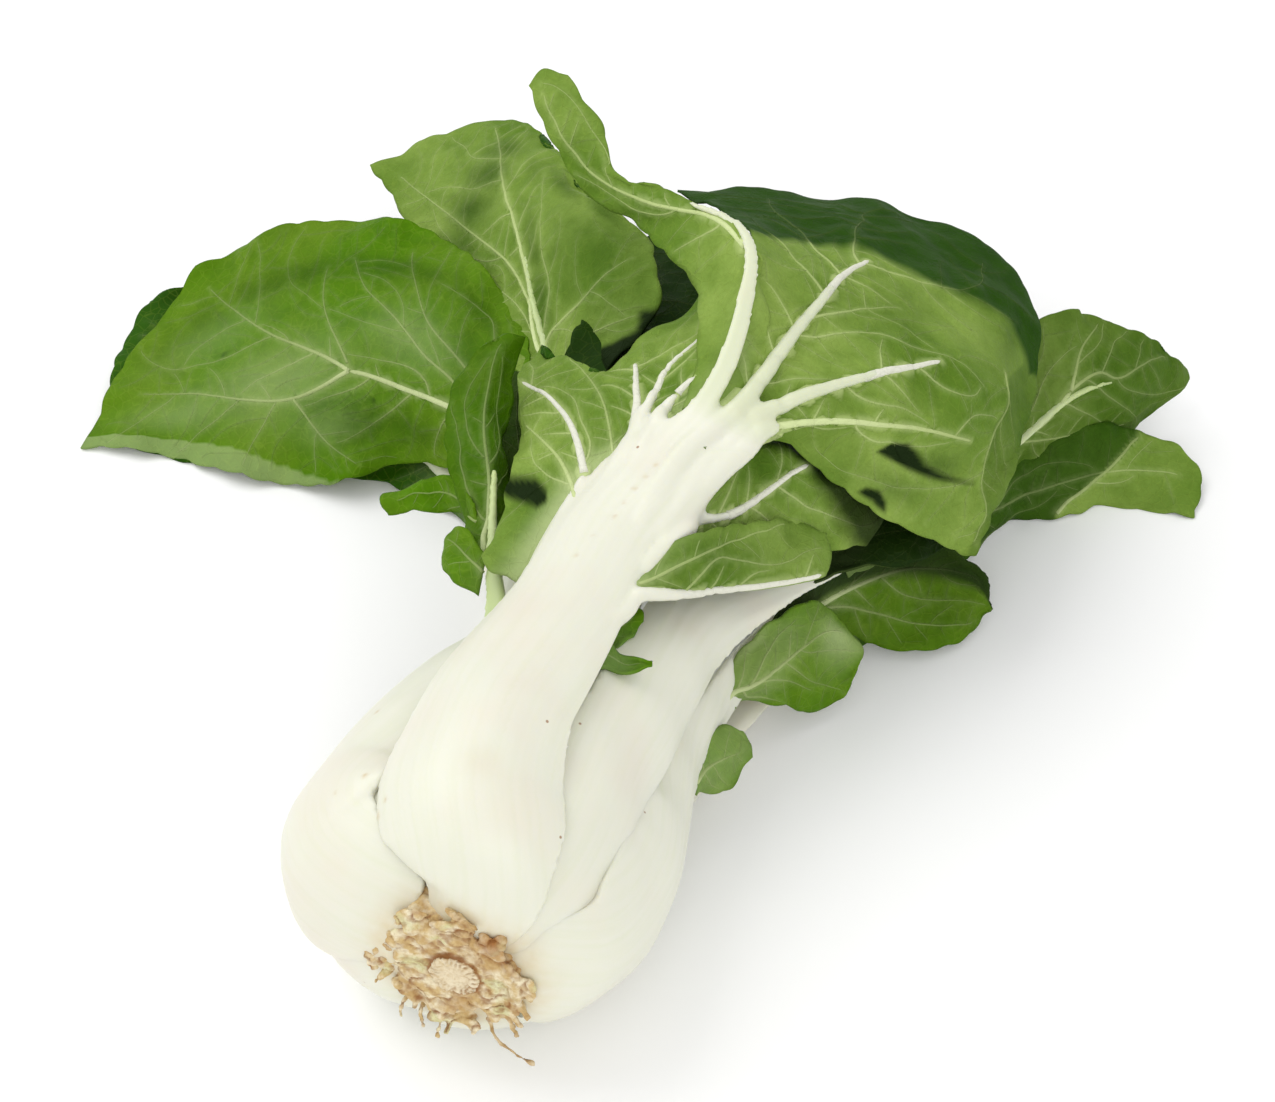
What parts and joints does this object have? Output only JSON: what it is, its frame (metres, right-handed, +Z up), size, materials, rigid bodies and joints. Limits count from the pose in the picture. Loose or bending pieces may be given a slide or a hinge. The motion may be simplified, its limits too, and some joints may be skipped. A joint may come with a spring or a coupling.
{
  "type": "bok choy",
  "caption": "Head of white-stalked bok choy lying on its side: a bulb of broad pale stalks round a cut root plate, opening into veined green leaves.",
  "frame": {"origin": "middle of the flat spot that the underside of the bulb rests on, in the plane of the surface", "axes": "+Z up; the head's long axis runs along Y, the cut root plate facing -Y and the leaves spread towards +Y; +X is to the right seen from the root end"},
  "size_m": [0.309, 0.2996, 0.1223],
  "materials": {
    "white_stalk": "crisp, waxy, faintly ribbed white-green leaf stalk",
    "root": "dry, rough tan root plate with a cut fibrous disc and brown scars",
    "leaf_underside": "matt pale-green underside with raised veins",
    "bright_leaf": "satin bright-green upper side with pale net veins",
    "dark_leaf": "satin dark-green upper side with pale net veins"
  },
  "bodies": {
    "root": {"root_plate": "root", "left_outer_stalk": "white_stalk", "left_outer_blade": "bright_leaf", "right_outer_stalk": "white_stalk", "right_outer_blade": "bright_leaf", "right_outer_lobe_1": "bright_leaf", "right_outer_lobe_2": "bright_leaf", "bottom_left_stalk": "white_stalk", "bottom_left_blade": "dark_leaf", "bottom_right_stalk": "white_stalk", "bottom_right_blade": "leaf_underside", "front_stalk": "white_stalk", "front_blade": "leaf_underside", "right_upper_stalk": "white_stalk", "right_upper_blade": "leaf_underside", "left_upper_stalk": "white_stalk", "left_upper_blade": "leaf_underside", "inner_left_stalk": "white_stalk", "inner_left_blade": "bright_leaf", "inner_left_lobe_1": "bright_leaf", "inner_back_stalk": "white_stalk", "inner_back_blade": "dark_leaf", "heart_stalk": "white_stalk", "heart_blade": "bright_leaf"}
  },
  "joints": []
}
